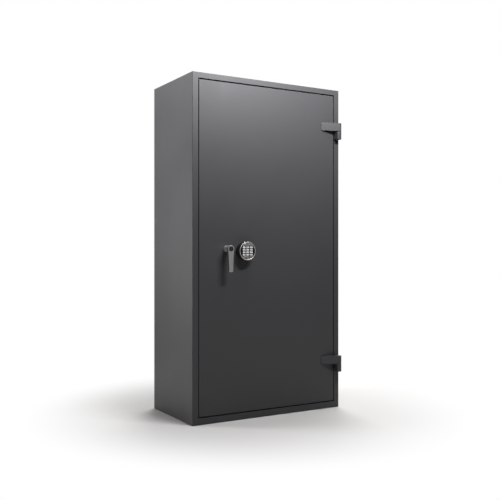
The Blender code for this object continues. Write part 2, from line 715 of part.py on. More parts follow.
def pinion():
    """A spur gear with one tooth pointing straight down."""
    base = PITCH_RADIUS * math.cos(PRESSURE)
    root, tip = PITCH_RADIUS - GEAR_DEDENDUM, PITCH_RADIUS + GEAR_ADDENDUM
    half = math.pi / (2 * TEETH) - BACKLASH / PITCH_RADIUS + involute(PITCH_RADIUS)
    radii = [root] + [base + (tip - base) * i / 3 for i in range(4)]
    flank = [(r, half - involute(max(r, base))) for r in radii]
    outline = []
    for i in range(TEETH):
        middle = math.tau * i / TEETH - math.pi / 2
        for r, turn in flank:
            outline.append((r * math.cos(middle - turn), r * math.sin(middle - turn)))
        for r, turn in reversed(flank):
            outline.append((r * math.cos(middle + turn), r * math.sin(middle + turn)))
    at = (SPINDLE_X, 0, SPINDLE_Z)
    gear = prism("pinion", outline, *PINION_Y, at, "Y")
    start, end = PINION_Y[0] - OVERCUT, PINION_Y[1] + OVERCUT
    bore = rod("pinion_bore", BORE_RADIUS, start, end, at, "Y", steps=24)
    return finish(cut(gear, bore), zinc())


def rack_outline(direction, start, end):
    """A rack beside the pinion, as (x, z) about its centre: the teeth face it from `direction`
    (in degrees), and run from start to end along the rack, counted anticlockwise."""
    pitch = math.pi * MODULE
    tooth_down, facing = -math.pi / 2, math.radians(direction)
    phase = PITCH_RADIUS * (tooth_down - facing)
    top, foot = ADDENDUM, DEDENDUM
    half = pitch / 4 - BACKLASH
    slope = math.tan(PRESSURE)
    points = [(start, -foot - RACK_DEPTH), (start, -foot)]
    number = math.ceil((start + half + foot * slope - phase) / pitch - 0.5)
    while True:
        middle = phase + (number + 0.5) * pitch
        if middle + half + foot * slope > end:
            break
        points += [
            (middle - half - foot * slope, -foot),
            (middle - half + top * slope, top),
            (middle + half - top * slope, top),
            (middle + half + foot * slope, -foot),
        ]
        number += 1
    points += [(end, -foot), (end, -foot - RACK_DEPTH)]
    along = (-math.sin(facing), math.cos(facing))
    away = (math.cos(facing), math.sin(facing))
    return [
        (
            along[0] * s + away[0] * (PITCH_RADIUS - h),
            along[1] * s + away[1] * (PITCH_RADIUS - h),
        )
        for s, h in points
    ]


def rack_middle():
    """From the pinion's centre to the middle of a rack's bar."""
    return PITCH_RADIUS + DEDENDUM + RACK_DEPTH / 2


def top_rod_x():
    return SPINDLE_X - rack_middle()


def bottom_rod_x():
    return SPINDLE_X + rack_middle()


def bolt_carriage():
    """The plate that joins the side bolts, with its rack under the pinion."""
    at = (SPINDLE_X, 0, SPINDLE_Z)
    rack = prism("bolt_carriage", rack_outline(-90, *CARRIAGE_RACK), *CARRIAGE_Y, at, "Y")
    low, high = BOLT_HEIGHTS[0] - PLATE_END, BOLT_HEIGHTS[-1] + PLATE_END
    left, right = PLATE_X
    plate = cuboid("carriage_plate", (left, CARRIAGE_Y[0], low), (right, CARRIAGE_Y[1], high))
    middle, half = SPINDLE_Z - rack_middle(), RACK_DEPTH / 2
    web = cuboid(
        "carriage_web",
        (right - WEB_OVERLAP, CARRIAGE_Y[0], middle - half - WEB_DROP),
        (right + WEB_REACH, CARRIAGE_Y[1], middle + half),
    )
    return finish(join(rack, plate, web), zinc())


def side_bolt(number, z):
    tip, tail, at = -COVER_X - BOLT_PROUD, PLATE_X[1] - BOLT_SHORT, (0, BOLT_Y, z)
    bolt = rod(f"side_bolt_{number}", BOLT_RADIUS, tip, tail, at, "X", BOLT_CHAMFER)
    return finish(bolt, zinc())


def end_rod(name, direction, x, tip):
    """A flat bar with a rack beside the pinion at one end and a round bolt at the other."""
    at = (SPINDLE_X, 0, SPINDLE_Z)
    rack = prism(name, rack_outline(direction, *ROD_RACK), *ROD_Y, at, "Y")
    upward = 1 if tip > SPINDLE_Z else -1
    inner = SPINDLE_Z + upward * ROD_START
    outer = tip - upward * (ROUND_LENGTH - ROUND_JOINT)
    half = RACK_DEPTH / 2
    bar = cuboid(
        f"{name}_bar",
        (x - half, ROD_Y[0], min(inner, outer)),
        (x + half, ROD_Y[1], max(inner, outer)),
    )
    low, high = sorted((tip, tip - upward * ROUND_LENGTH))
    bolt = rod(f"{name}_bolt", BOLT_RADIUS, low, high, (x, BOLT_Y, 0), "Z", BOLT_CHAMFER)
    return finish(join(rack, bar, bolt), zinc())


def top_rod():
    return end_rod("top_rod", 180, top_rod_x(), COVER_TOP + BOLT_PROUD)


def bottom_rod():
    return end_rod("bottom_rod", 0, bottom_rod_x(), COVER_LOW - BOLT_PROUD)


def lock_bolt():
    """The lock's own bolt, which slides out behind the thrown carriage."""
    bar = cuboid("lock_bolt", *zip(LATCH_X, LATCH_Y, LATCH_Z))
    return finish(soften(bar, SMALL_CHAMFER, 1), zinc())


# --- assembly ----------------------------------------------------------------------------------


def build():
    clear_scene()
    cabinet = [outer_shell(), body_insulation(), door_frame(), inner_liner(), door_seal()]
    for side, top in BLOCK_TOPS.items():
        cabinet += [hinge_block(side, top), hinge_pin(side, top), hinge_washer(side, top)]
    cabinet += [shelf(), shelf_bracket("left"), shelf_bracket("right")]
    cabinet += [barrel_rack(), floor_mat()]
    body("cabinet", (0, 0, 0), cabinet)

    fire_board = material("fire_board", (0.75, 0.73, 0.70), 0.9)
    door = [
        door_panel(),
        door_board("door_insulation", FRONT + SHEET + GAP, DOOR_BACK - SHEET - GAP, fire_board),
        door_board("door_back_plate", DOOR_BACK - SHEET, DOOR_BACK, inner_paint()),
        bolt_cover(),
        bolt_guide(),
        lock_case(),
        lock_cable(),
        handle_collar(),
        spindle_bush(),
        keypad_base(),
        keypad_housing(),
        keypad_face(),
        status_led(),
        battery(),
    ]
    door += [hinge_arm(side, top) for side, top in BLOCK_TOPS.items()]
    door += [dog_bolt(i + 1, z) for i, z in enumerate(DOG_HEIGHTS)]
    body("door", (HINGE_X, HINGE_Y, 0), door)

    body("handle", (SPINDLE_X, FRONT, SPINDLE_Z), [lever(), lever_cap(), spindle(), pinion()])
    bolts = [side_bolt(i + 1, z) for i, z in enumerate(BOLT_HEIGHTS)]
    body("carriage", (SPINDLE_X, BOLT_Y, SPINDLE_Z), [bolt_carriage(), *bolts])
    body("upper_rod", (top_rod_x(), BOLT_Y, SPINDLE_Z), [top_rod()])
    body("lower_rod", (bottom_rod_x(), BOLT_Y, SPINDLE_Z), [bottom_rod()])
    body("lock", LATCH_PIVOT, [lock_bolt()])
    for name, x, z in key_places():
        at = Vector(keypad_at()) + Vector((x, 0, z))
        body(f"press_{name}", at, [key(name, x, z)])


build()
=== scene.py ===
"""Looks for the gun safe: finer pieces over the frame, surfaces, studio light and camera.

Everything is in metres in the frame's own axes: +X right, +Y back, +Z up, door facing -Y.
"""

import json
import math

import bmesh
import bpy
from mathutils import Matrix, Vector

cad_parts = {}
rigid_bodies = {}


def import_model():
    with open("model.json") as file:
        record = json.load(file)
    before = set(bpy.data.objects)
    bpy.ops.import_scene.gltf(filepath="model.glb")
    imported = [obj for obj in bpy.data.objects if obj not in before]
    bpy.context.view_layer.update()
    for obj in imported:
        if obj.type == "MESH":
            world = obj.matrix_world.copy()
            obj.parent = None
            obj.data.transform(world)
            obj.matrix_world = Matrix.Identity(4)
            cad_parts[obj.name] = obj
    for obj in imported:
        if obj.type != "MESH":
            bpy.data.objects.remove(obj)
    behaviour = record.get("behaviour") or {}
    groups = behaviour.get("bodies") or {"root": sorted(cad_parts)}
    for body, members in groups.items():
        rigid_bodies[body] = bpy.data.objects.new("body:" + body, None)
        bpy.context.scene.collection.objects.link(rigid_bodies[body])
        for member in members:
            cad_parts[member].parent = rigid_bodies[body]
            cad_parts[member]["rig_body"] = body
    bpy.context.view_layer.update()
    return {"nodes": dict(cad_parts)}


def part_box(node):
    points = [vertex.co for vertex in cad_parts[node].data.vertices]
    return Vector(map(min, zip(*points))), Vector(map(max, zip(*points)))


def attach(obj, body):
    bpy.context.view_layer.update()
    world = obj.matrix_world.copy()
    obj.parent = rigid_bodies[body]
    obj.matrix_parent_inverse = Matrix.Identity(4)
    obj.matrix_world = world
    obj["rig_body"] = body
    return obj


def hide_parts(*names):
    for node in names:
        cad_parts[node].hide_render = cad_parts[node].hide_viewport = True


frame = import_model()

NODES = frame["nodes"]
SHELL_LOW, SHELL_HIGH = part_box("outer_shell")
FRONT = SHELL_LOW.y
LINER_SHEET, BRACKET_SHEET = 0.002, 0.002  # how thick their steel is
HAIR = 0.0002  # a thin mark or a seat stands this far off its surface
KEY_PLAY = 0.00035  # a key's cap is this much smaller than its body, all round
FACING = 0.5  # a face looks along an axis where its normal goes further along it than this

WELD = 1e-6  # corners closer than this are one
COPLANAR = 0.2  # degrees: faces that bend less than this are joined
ROUNDED = 35  # degrees: an edge is softened where its faces bend more than this


# --- mesh helpers ------------------------------------------------------------------------------


def point_on(axis, u, v, w):
    """A point from its two places across an axis and its place along it."""
    return Vector({"X": (w, u, v), "Y": (u, w, v), "Z": (u, v, w)}[axis])


def piece_of(name, bm, surface, body, smooth=30):
    """A piece that rides on a body, smooth but where its faces bend more than smooth degrees."""
    bmesh.ops.recalc_face_normals(bm, faces=bm.faces)
    mesh = bpy.data.meshes.new(name)
    bm.to_mesh(mesh)
    bm.free()
    mesh.shade_smooth()
    mesh.set_sharp_from_angle(angle=math.radians(smooth))
    piece = bpy.data.objects.new(name, mesh)
    bpy.context.scene.collection.objects.link(piece)
    mesh.materials.append(surface)
    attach(piece, body)
    return piece


def skin(bm, rings, closed):
    """Faces from each ring of corners to the next. A ring may be one corner, repeated."""
    following = rings[1:] + rings[:1] if closed else rings[1:]
    for first, second in zip(rings, following):
        for i in range(len(first)):
            j = (i + 1) % len(first)
            corners = list(dict.fromkeys((first[i], first[j], second[j], second[i])))
            if len(corners) > 2:
                bm.faces.new(corners)


def prism_mesh(outline, start, end, at, axis):
    """The outline, across the axis, drawn out from start to end along it."""
    bm = bmesh.new()
    at = Vector(at)
    rings = [
        [bm.verts.new(at + point_on(axis, u, v, w)) for u, v in outline] for w in (start, end)
    ]
    bm.faces.new(rings[0])
    bm.faces.new(rings[1][::-1])
    for i in range(len(outline)):
        j = (i + 1) % len(outline)
        bm.faces.new((rings[0][i], rings[1][i], rings[1][j], rings[0][j]))
    return bm


def turned_mesh(profile, at, axis, steps):
    """Turns (radius, height) points about the axis. A profile off the axis closes on itself."""
    bm = bmesh.new()
    at = Vector(at)
    turn = [math.tau * i / steps for i in range(steps)]
    rings = []
    for radius, height in profile:
        if radius == 0:
            rings.append([bm.verts.new(at + point_on(axis, 0, 0, height))] * steps)
            continue
        across = [(radius * math.cos(a), radius * math.sin(a)) for a in turn]
        rings.append([bm.verts.new(at + point_on(axis, u, v, height)) for u, v in across])
    skin(bm, rings, closed=profile[0][0] > 0)
    return bm


def arc(cx, cy, radius, start, end, steps):
    """Points on an arc, with its angles in degrees."""
    angles = [math.radians(start + (end - start) * i / steps) for i in range(steps + 1)]
    return [(cx + radius * math.cos(a), cy + radius * math.sin(a)) for a in angles]


def rounded_rectangle(half_x, half_y, radius, steps=6):
    points = []
    for sx, sy, start in ((1, 1, 0), (-1, 1, 90), (-1, -1, 180), (1, -1, 270)):
        cx, cy = sx * (half_x - radius), sy * (half_y - radius)
        points += arc(cx, cy, radius, start, start + 90, steps)
    return points


def soften(piece, width, segments):
    """Rounds the piece's edges and keeps its flat faces flat."""
    step = piece.modifiers.new("soften", "BEVEL")
    step.width = width
    step.segments = segments
    step.limit_method = "ANGLE"
    step.angle_limit = math.radians(ROUNDED)
    step.harden_normals = True
    return piece


def refined(node, surface, width=0.0, segments=2, smooth=30):
    """A piece in a CAD node's own shape, welded, smooth where it is round, with soft edges."""
    bm = bmesh.new()
    bm.from_mesh(NODES[node].data)
    bmesh.ops.remove_doubles(bm, verts=bm.verts, dist=WELD)
    bmesh.ops.dissolve_limit(
        bm, angle_limit=math.radians(COPLANAR), verts=bm.verts, edges=bm.edges
    )
    piece = piece_of(f"{node}_finished", bm, surface, NODES[node]["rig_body"], smooth)
    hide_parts(node)
    if width:
        return soften(piece, width, segments)
    flat = piece.modifiers.new("flat_faces", "WEIGHTED_NORMAL")
    flat.weight = 100  # a corner takes its shading from the widest face
    flat.keep_sharp = True
    return piece


# --- surfaces ----------------------------------------------------------------------------------

NOISE_LOW, NOISE_HIGH = 0.3, 0.7  # most of a noise's values lie between these
SCRATCH = 0.02  # a scratch's width over its length


class Surface:
    """A Principled material with a few ready chains of nodes on object coordinates."""

    def __init__(self, name, colour, roughness, metallic=0.0):
        self.made = bpy.data.materials.new(name)
        self.made.use_nodes = True
        self.tree = self.made.node_tree
        self.shader = self.tree.nodes["Principled BSDF"]
        self.shader.inputs["Base Color"].default_value = (*colour, 1)
        self.shader.inputs["Roughness"].default_value = roughness
        self.shader.inputs["Metallic"].default_value = metallic
        self.colour, self.roughness = colour, roughness
        self.place = self.tree.nodes.new("ShaderNodeTexCoord").outputs["Object"]
        self.bumped = None

    def set(self, **values):
        for name, value in values.items():
            self.shader.inputs[name.replace("_", " ")].default_value = value
        return self

    def node(self, kind, **inputs):
        made = self.tree.nodes.new(kind)
        for name, value in inputs.items():
            socket = made.inputs[name.replace("_", " ")]
            if isinstance(value, bpy.types.NodeSocket):
                self.tree.links.new(value, socket)
            else:
                socket.default_value = value
        return made

    def stretched(self, scale):
        return self.node("ShaderNodeMapping", Vector=self.place, Scale=scale).outputs["Vector"]

    def noise(self, scale, detail, stretch=None, rough=0.5):
        place = self.stretched(stretch) if stretch else self.place
        return self.node(
            "ShaderNodeTexNoise", Vector=place, Scale=scale, Detail=detail, Roughness=rough
        ).outputs["Fac"]

    def cells(self, scale):
        made = self.node("ShaderNodeTexVoronoi", Vector=self.place, Scale=scale)
        return made.outputs["Distance"]

    def ramped(self, value, low, high, start=NOISE_LOW, end=NOISE_HIGH):
        """Goes from low to high as the value goes from start to end."""
        made = self.node(
            "ShaderNodeMapRange",
            Value=value,
            From_Min=start,
            From_Max=end,
            To_Min=low,
            To_Max=high,
        )
        return made.outputs["Result"]

    def mottled(self, value, dark, light, start=NOISE_LOW, end=NOISE_HIGH):
        """Colours the surface from dark times to light times its own colour."""
        ramp = self.tree.nodes.new("ShaderNodeValToRGB")
        ramp.color_ramp.elements[0].position = start
        ramp.color_ramp.elements[1].position = end
        for element, times in zip(ramp.color_ramp.elements, (dark, light)):
            element.color = (*[min(1.0, c * times) for c in self.colour], 1)
        self.tree.links.new(value, ramp.inputs["Fac"])
        self.tree.links.new(ramp.outputs["Color"], self.shader.inputs["Base Color"])

    def uneven(self, value, by):
        """Lets the roughness stray this far either way."""
        low, high = self.roughness - by, self.roughness + by
        self.tree.links.new(self.ramped(value, low, high), self.shader.inputs["Roughness"])

    def bump(self, height, strength, distance):
        """Adds a relief to those that the surface already has."""
        made = self.node(
            "ShaderNodeBump", Height=height, Strength=strength, Distance=distance
        )
        if self.bumped:
            self.tree.links.new(self.bumped, made.inputs["Normal"])
        self.bumped = made.outputs["Normal"]
        self.tree.links.new(self.bumped, self.shader.inputs["Normal"])


def powder_coat(name, colour, roughness):
    """Fine-texture powder coat: small close pebbles, a fine fleck, a slow drift in gloss."""
    coat = Surface(name, colour, roughness).set(Specular_IOR_Level=0.30)
    pebbles = coat.noise(900, detail=2.0, rough=0.55)
    coat.mottled(coat.noise(420, detail=3.0), dark=0.93, light=1.07, start=0.25, end=0.75)
    coat.uneven(coat.noise(5.5, detail=3.0), by=0.035)
    coat.bump(pebbles, strength=0.22, distance=0.00035)
    coat.bump(coat.noise(160, detail=1.0), strength=0.08, distance=0.0004)
    return coat.made


def brushed(name, colour, roughness, along, depth=0.10, metallic=1.0):
    """Satin plating, with fine scratches along one axis. Lacquer makes it less metallic."""
    metal = Surface(name, colour, roughness, metallic)
    stretch = tuple(SCRATCH if axis == along else 1 for axis in "XYZ")
    lines = metal.noise(5200, detail=2.0, stretch=stretch)
    metal.mottled(metal.noise(2600, detail=3.0, stretch=stretch), dark=0.90, light=1.06)
    metal.uneven(lines, by=0.05)
    metal.bump(lines, depth, distance=0.00004)
    return metal.made


def plated(name, colour, roughness):
    """Zinc plating: a soft crystal mottle, faint handling marks."""
    metal = Surface(name, colour, roughness, metallic=1.0)
    metal.mottled(metal.noise(90, detail=4.0), dark=0.82, light=1.05)
    metal.uneven(metal.noise(34, detail=5.0), by=0.09)
    metal.bump(metal.noise(1500, detail=2.0), strength=0.06, distance=0.00005)
    return metal.made


def moulded(name, colour, roughness, grain=2600, depth=0.12):
    """Satin moulded plastic with a fine spark-eroded grain."""
    plastic = Surface(name, colour, roughness)
    plastic.mottled(plastic.noise(60, detail=3.0), dark=0.9, light=1.12)
    plastic.uneven(plastic.noise(300, detail=2.0), by=0.05)
    plastic.bump(plastic.noise(grain, detail=1.0), depth, distance=0.00005)
    return plastic.made


def felt(name, colour):
    """Needle felt: short fibres lying every way, a little fuzz at grazing angles."""
    cloth = Surface(name, colour, 0.95).set(Sheen_Weight=0.35, Sheen_Roughness=0.6)
    fibres = cloth.noise(1500, detail=6.0, stretch=(1, 0.25, 1), rough=0.7)
    cloth.mottled(fibres, dark=0.65, light=1.35)
    cloth.bump(fibres, strength=0.6, distance=0.0008)
    crossing = cloth.noise(220, detail=3.0, stretch=(0.3, 1, 1))
    cloth.bump(crossing, strength=0.3, distance=0.0010)
    return cloth.made


def foam(name, colour):
    """Foam with open pores."""
    pad = Surface(name, colour, 0.92)
    pores = pad.cells(900)
    pad.mottled(pores, dark=0.55, light=1.25, start=0.1, end=0.6)
    pad.bump(pores, strength=0.5, distance=0.0004)
    return pad.made


def board(name, colour):
    """Gypsum fire board with paper flecks."""
    sheet = Surface(name, colour, 0.93)
    sheet.mottled(sheet.noise(260, detail=6.0), dark=0.85, light=1.05)
    sheet.bump(sheet.noise(700, detail=4.0), strength=0.25, distance=0.0003)
    return sheet.made


GRAPHITE = powder_coat("graphite_powder_coat", (0.045, 0.045, 0.0465), 0.50)
# A darker copy of the graphite coat for the jamb and the opening's cut edges: painted shade for
# the gap round the door.
GAP_SHADE_COAT = powder_coat("graphite_painted_gap_shade", (0.026, 0.026, 0.027), 0.55)
INNER_GREY = powder_coat("grey_powder_coat", (0.30, 0.30, 0.30), 0.55)
# The satin nickel comes in four copies whose colour and metal are set apart by the light on each
# part: painted light and shade. The neck's near-white copy is painted light for its bright top.
NICKEL_UPRIGHT = brushed("satin_nickel_upright", (0.36, 0.358, 0.352), 0.38, "Z", metallic=0.5)
NICKEL_NECK_PAINTED_LIT = brushed("satin_nickel_neck_painted_lit", (0.88, 0.87, 0.85), 0.52, "Y", 0.06)
NICKEL_ROUND = brushed("satin_nickel_round", (0.50, 0.485, 0.455), 0.45, "Y", 0.06, metallic=0.8)
NICKEL_SHIELD = brushed("satin_nickel_shield", (0.31, 0.30, 0.275), 0.36, "X", metallic=0.5)
ZINC = plated("zinc_plate", (0.62, 0.62, 0.61), 0.36)
BRASS = plated("bearing_brass", (0.72, 0.55, 0.27), 0.33)
BLACK_PLASTIC = moulded("black_plastic", (0.016, 0.016, 0.017), 0.42)
BLACK_CAP = moulded("black_cap_plastic", (0.003, 0.003, 0.003), 0.55, depth=0.05)
BLACK_GLOSS = moulded("black_keypad_plastic", (0.012, 0.012, 0.013), 0.26, depth=0.04)
RUBBER = moulded("seal_rubber", (0.018, 0.018, 0.018), 0.78, grain=1400, depth=0.25)
KEY_GREY = moulded("key_silicone", (0.56, 0.56, 0.545), 0.55, grain=3000, depth=0.15)
KEY_PRINT = moulded("key_print", (0.03, 0.03, 0.03), 0.6)
LAMP = moulded("lamp_lens", (0.28, 0.02, 0.015), 0.15, depth=0.02)
FELT = felt("grey_felt", (0.13, 0.13, 0.135))
FOAM = foam("black_foam", (0.022, 0.022, 0.022))
FIRE_BOARD = board("fire_board", (0.72, 0.70, 0.66))
WRAP = moulded("battery_wrap", (0.05, 0.07, 0.16), 0.35)


def dress(node, surface):
    """Gives a CAD node that stays its finished surface."""
    slots = NODES[node].data.materials
    slots.clear()
    slots.append(surface)


# --- cabinet -----------------------------------------------------------------------------------


def shade_opening(shell):
    """Gives the cut edges of the door's opening the darker coat of the jamb behind them: painted
    shade for the gap round the door.
    """
    low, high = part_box("door_panel")
    reach = 0.006  # from the door's edge to past the opening's
    behind = 0.004  # from the cabinet's front to past the sheet's back
    shell.data.materials.append(GAP_SHADE_COAT)
    for face in shell.data.polygons:
        x, y, z = face.center
        inside = low.x - reach < x < high.x + reach and low.z - reach < z < high.z + reach
        # These edge faces take the darker coat: painted shade in the gap.
        if inside and abs(face.normal.y) < FACING and y < FRONT + behind:
            face.material_index = 1


def cabinet():
    shade_opening(refined("outer_shell", GRAPHITE, smooth=40))
    # The jamb takes the darker coat: painted shade for the gap round the door.
    refined("door_frame", GAP_SHADE_COAT, width=0.0006)
    refined("inner_liner", INNER_GREY, width=0.0004)
    for side in ("upper", "lower"):
        refined(f"hinge_block_{side}", GRAPHITE, width=0.0003)
        refined(f"hinge_pin_{side}", ZINC)
        refined(f"hinge_washer_{side}", BLACK_PLASTIC, width=0.0002)
    refined("shelf", FELT, width=0.0010, segments=3)
    for side in ("left", "right"):
        refined(f"shelf_bracket_{side}", ZINC, width=0.0003)
    refined("barrel_rack", FOAM, width=0.0020, segments=3)
    refined("floor_mat", FELT, width=0.0012, segments=3)
    refined("door_seal", RUBBER, width=0.0012, segments=3)
    dress("body_insulation", FIRE_BOARD)


# --- door --------------------------------------------------------------------------------------


def door():
    refined("door_panel", GRAPHITE, smooth=40)
    refined("door_back_plate", INNER_GREY)
    refined("bolt_cover", INNER_GREY, smooth=40)
    for side in ("upper", "lower"):
        refined(f"hinge_arm_{side}", GRAPHITE, smooth=40)
    for number in (1, 2):
        refined(f"dog_bolt_{number}", ZINC)
    refined("bolt_guide", ZINC, width=0.0003)
    refined("lock_case", ZINC, smooth=40)
    refined("spindle_bush", BRASS)
    dress("door_insulation", FIRE_BOARD)
    dress("lock_cable", BLACK_PLASTIC)
    dress("battery", WRAP)


def bolt_work():
    for number in (1, 2, 3, 4):
        refined(f"side_bolt_{number}", ZINC)
    for node in ("bolt_carriage", "top_rod", "bottom_rod", "lock_bolt", "pinion", "spindle"):
        refined(node, ZINC, smooth=35)


# --- small fittings ----------------------------------------------------------------------------


def gathered(meshes):
    """One bmesh out of several that don't touch."""
    whole = bmesh.new()
    for bm in meshes:
        step = bpy.data.meshes.new("step")
        bm.to_mesh(step)
        bm.free()
        whole.from_mesh(step)
        bpy.data.meshes.remove(step)
    return whole


def screw_head(at, radius, rise):
    """A domed head with a round socket, standing off a face that looks to the back."""
    edge, socket, socket_floor = 0.3 * rise, 0.36 * radius, 0.45 * rise
    up_the_dome = (0.5, 0.85, 1.1)  # radians
    dome = [(radius, 0), (radius, edge)]
    dome += [(radius * math.cos(a), edge + (rise - edge) * math.sin(a)) for a in up_the_dome]
    dome += [(socket, rise), (socket, socket_floor), (0, socket_floor)]
    return turned_mesh([(r, h + HAIR) for r, h in dome] + [(0, HAIR)], at, "Y", 24)


def screws(name, places, body, radius, rise):
    heads = gathered([screw_head(at, radius, rise) for at in places])
    piece_of(name, heads, ZINC, body, 40)


def cover_fittings():
    """Screws round the bolt cover, a raised frame on it, and the plate over the lock."""
    low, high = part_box("bolt_cover")
    cover_screws(low, high)
    cover_rib(low, high)
    lock_plate(high.y)


def cover_screws(low, high):
    """A row of screws down each side of the bolt cover, and two more along its top and foot."""
    inset, from_middle, pitches = 0.014, 0.105, 6
    left, right, foot, top = low.x + inset, high.x - inset, low.z + inset, high.z - inset
    middle, pitch = (left + right) / 2, (top - foot) / pitches
    places = [(x, high.y, foot + pitch * i) for x in (left, right) for i in range(pitches + 1)]
    places += [
        (middle + side * from_middle, high.y, z) for side in (-1, 1) for z in (foot, top)
    ]
    screws("cover_screws", places, "door", radius=0.0042, rise=0.0022)


def cover_rib(low, high):
    """A raised frame on the bolt cover, with sloping sides."""
    half_x, margin, corner = 0.270, 0.059, 0.030
    width, slope, rise = 0.012, 0.004, 0.0016
    middle = Vector(((low.x + high.x) / 2, high.y, (low.z + high.z) / 2))
    half_z = (high.z - low.z) / 2 - margin
    bm = bmesh.new()
    rings = []
    for inset, height in ((0, HAIR), (slope, rise), (width - slope, rise), (width, HAIR)):
        outline = rounded_rectangle(half_x - inset, half_z - inset, corner - inset, 8)
        rings.append([bm.verts.new(middle + Vector((u, height, v))) for u, v in outline])
    skin(bm, rings, closed=True)
    frame_rib = piece_of("cover_rib", bm, INNER_GREY, "door", smooth=50)


def lock_plate(y):
    """The plate over the lock, with a screw at each corner."""
    lock_low, lock_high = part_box("lock_case")
    at = Vector(((lock_low.x + lock_high.x) / 2, y, (lock_low.z + lock_high.z) / 2))
    half_x, half_z, corner = 0.058, 0.045, 0.006
    rise, edge, inset = 0.0014, 0.0004, 0.009
    outline = rounded_rectangle(half_x, half_z, corner)
    bm = prism_mesh(outline, HAIR, rise, at, "Y")
    piece = piece_of("lock_plate", bm, INNER_GREY, "door")
    soften(piece, edge, 3)
    corners = [
        at + Vector((sx * (half_x - inset), rise, sz * (half_z - inset)))
        for sx in (-1, 1)
        for sz in (-1, 1)
    ]
    screws("lock_plate_screws", corners, "door", radius=0.0034, rise=0.0018)


def anchor_plugs():
    """Caps on the liner's back wall that mark where the wall bolts go."""
    _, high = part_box("inner_liner")
    wall = high.y - LINER_SHEET
    across, heights = 0.22, (0.35, 1.15)
    radius, bevel, crown, edge, rise = 0.014, 0.0015, 0.006, 0.0012, 0.0036
    profile = [(radius, -HAIR), (radius, -edge), (radius - bevel, -2 * edge)]
    profile += [(crown, HAIR - rise), (0, -rise), (0, -HAIR)]
    places = [(x, wall, z) for x in (-across, across) for z in heights]
    caps = [turned_mesh(profile, place, "Y", 40) for place in places]
    piece_of("anchor_caps", gathered(caps), BLACK_PLASTIC, "cabinet", 40)


def shelf_edge():
    """The trim pressed over the shelf's front edge."""
    low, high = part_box("shelf")
    lip, sheet, end_gap, edge = 0.012, 0.0008, 0.001, 0.0003
    back, front, under, over = low.y + lip, low.y - HAIR, low.z - HAIR, high.z + HAIR
    outline = [(back, under), (front, under), (front, over), (back, over)]
    outline += [(back, over + sheet), (front - sheet, over + sheet)]
    outline += [(front - sheet, under - sheet), (back, under - sheet)]
    bm = prism_mesh(outline, low.x + end_gap, high.x - end_gap, (0, 0, 0), "X")
    trim = piece_of("shelf_edge", bm, BLACK_PLASTIC, "cabinet")
    soften(trim, edge, 2)


def bracket_screws():
    """Two screws through each shelf bracket into the side wall."""
    above_foot, places = 0.009, (-0.06, 0.13)
    radius, crown, edge, rise = 0.0036, 0.0026, 0.0006, 0.0019
    profile = [(radius, 0), (radius, edge), (crown, rise - 0.0003), (0, rise), (0, 0)]
    heads = []
    for side, inward in (("left", 1), ("right", -1)):
        bracket_low, bracket_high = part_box(f"shelf_bracket_{side}")
        wall = bracket_low.x if side == "left" else bracket_high.x
        face, z = wall + inward * BRACKET_SHEET, bracket_low.z + above_foot
        head = [(r, inward * (h + HAIR)) for r, h in profile]
        heads += [turned_mesh(head, (face, y, z), "X", 24) for y in places]
    piece_of("bracket_screws", gathered(heads), ZINC, "cabinet", 40)


# --- lever -------------------------------------------------------------------------------------


def lever():
    """The blade, the black cap in its hub, and the neck behind it."""
    refined("lever", NICKEL_UPRIGHT, smooth=40)
    cap_low, cap_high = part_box("lever_cap")
    at = ((cap_low.x + cap_high.x) / 2, 0, (cap_low.z + cap_high.z) / 2)
    lever_cap(cap_low, cap_high, at)
    lever_neck(at)


def lever_cap(low, high, at):
    """A flat cap with a shallow dish in its middle and an eased edge."""
    radius, front = (high.x - low.x) / 2, low.y
    dish, rim, depth, edge = 0.0035, 0.0040, 0.0004, 0.0012
    profile = [(0, front + depth), (dish, front + depth), (rim, front), (radius - edge, front)]
    profile += [(radius - 0.0003, front + depth), (radius, front + edge)]
    profile += [(radius, high.y), (0, high.y)]
    cap = piece_of(
        "lever_cap_finished", turned_mesh(profile, at, "Y", 64), BLACK_CAP, "handle"
    )
    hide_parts("lever_cap")


def lever_neck(at):
    """The collar between the lever and the door, a little wider at its foot."""
    neck_low, neck_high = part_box("handle_collar")
    front, back = neck_low.y, neck_high.y
    outer, inner, lip = (neck_high.x - neck_low.x) / 2, 0.0066, 0.0012
    flare, foot = 0.0006, 0.002
    profile = [(outer - lip, front), (outer, front + lip), (outer, back - 2 * foot)]
    profile += [(outer + flare, back - foot), (outer + flare, back), (inner, back), (inner, front)]
    # The neck wears the near-white nickel copy: painted light for its bright top.
    neck = piece_of(
        "handle_collar_finished", turned_mesh(profile, at, "Y", 80), NICKEL_NECK_PAINTED_LIT, "door"
    )
    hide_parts("handle_collar")


# --- keypad ------------------------------------------------------------------------------------


def keypad_middle():
    """A point on the keypad's axis, and the places of its front and its back."""
    low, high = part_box("keypad_housing")
    return Vector(((low.x + high.x) / 2, 0, (low.z + high.z) / 2)), low.y, high.y


